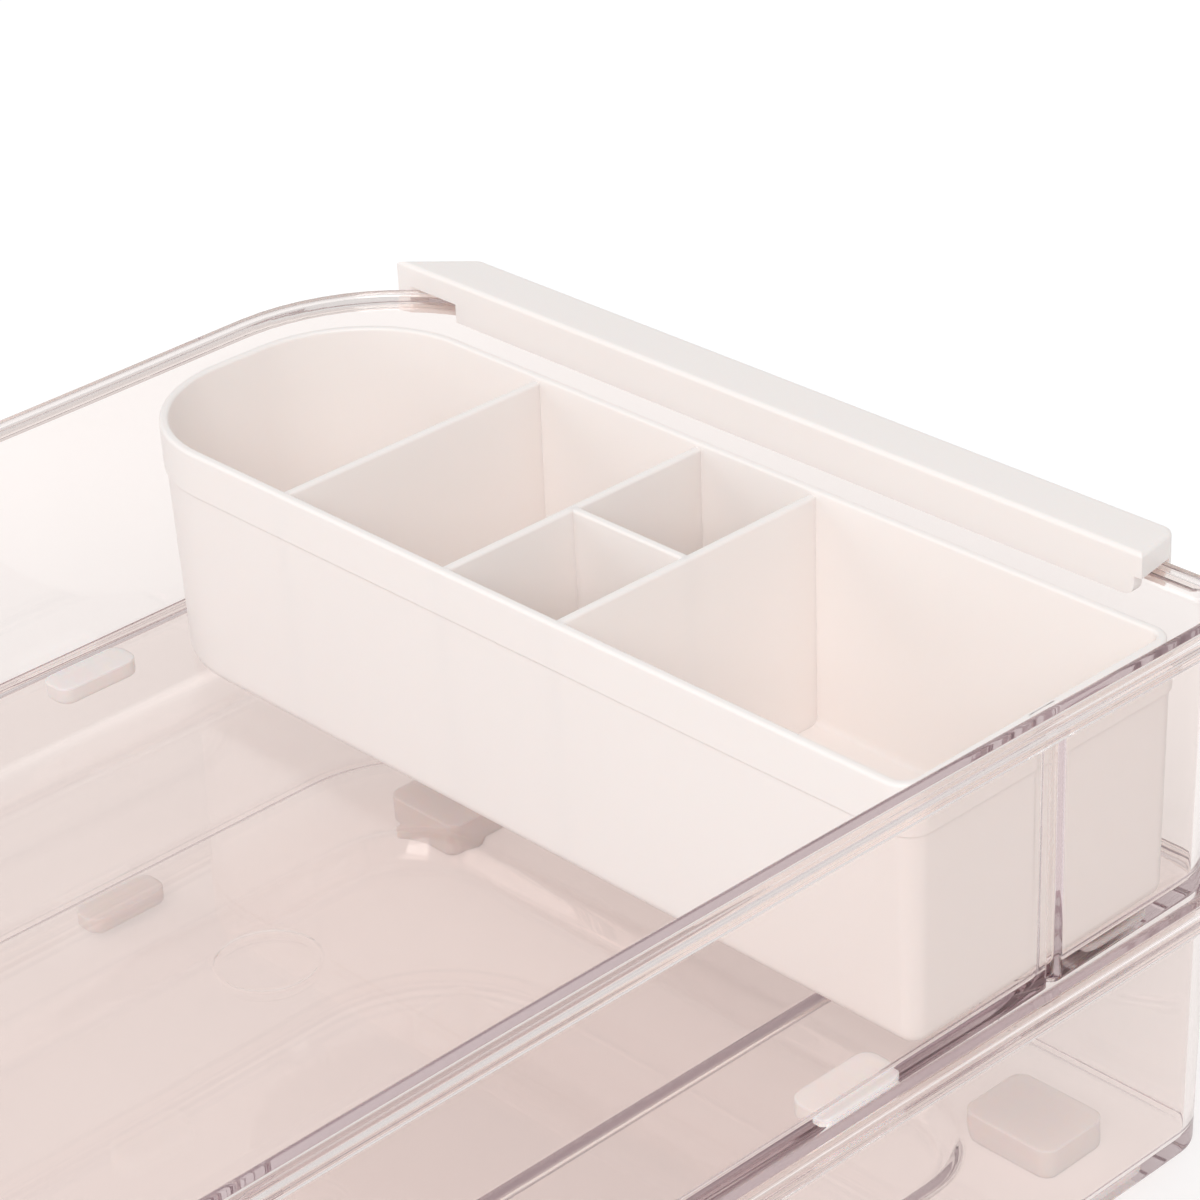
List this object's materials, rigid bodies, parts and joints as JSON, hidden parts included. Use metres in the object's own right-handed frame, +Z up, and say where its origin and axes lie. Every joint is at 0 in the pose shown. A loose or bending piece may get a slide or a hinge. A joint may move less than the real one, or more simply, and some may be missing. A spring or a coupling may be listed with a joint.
{
  "type": "makeup storage case with handle",
  "caption": "Stackable makeup storage case: clear tinted bins, a divided lift-out tray and a clip-on handle rail over one short rim.",
  "frame": {"origin": "middle of the bins' footprint on the surface that the case stands on", "axes": "+X across the case, +Y along it towards the handle rail, +Z up"},
  "size_m": [0.2, 0.2363, 0.1069],
  "materials": {
    "tinted_clear_plastic": "polished, clear, faint blush tint",
    "warm_white_plastic": "satin, very slightly pink white",
    "white_silicone": "matt soft white",
    "clear_silicone": "milky, half clear"
  },
  "bodies": {
    "lower_tier": {"lower_bin": "tinted_clear_plastic", "lower_foot_front_left": "white_silicone", "lower_foot_front_right": "white_silicone", "lower_foot_rear_left": "white_silicone", "lower_foot_rear_right": "white_silicone", "lower_locator_front_left": "clear_silicone", "lower_locator_front_right": "clear_silicone", "lower_locator_rear_left": "clear_silicone", "lower_locator_rear_right": "clear_silicone"},
    "upper_tier": {"upper_bin": "tinted_clear_plastic", "handle_rail": "warm_white_plastic", "upper_foot_front_left": "white_silicone", "upper_foot_front_right": "white_silicone", "upper_foot_rear_left": "white_silicone", "upper_foot_rear_right": "white_silicone", "upper_locator_front_left": "clear_silicone", "upper_locator_front_right": "clear_silicone", "upper_locator_rear_left": "clear_silicone", "upper_locator_rear_right": "clear_silicone"},
    "tray": {"divided_tray": "warm_white_plastic"}
  },
  "joints": [
    {"name": "upper_tier_lift", "type": "slide", "parent": "lower_tier", "child": "upper_tier", "axis": [0, 0, 1], "range_m": [0, 0.06]},
    {"name": "tray_lift", "type": "slide", "parent": "upper_tier", "child": "tray", "axis": [0, 0, 1], "range_m": [0, 0.055]}
  ]
}
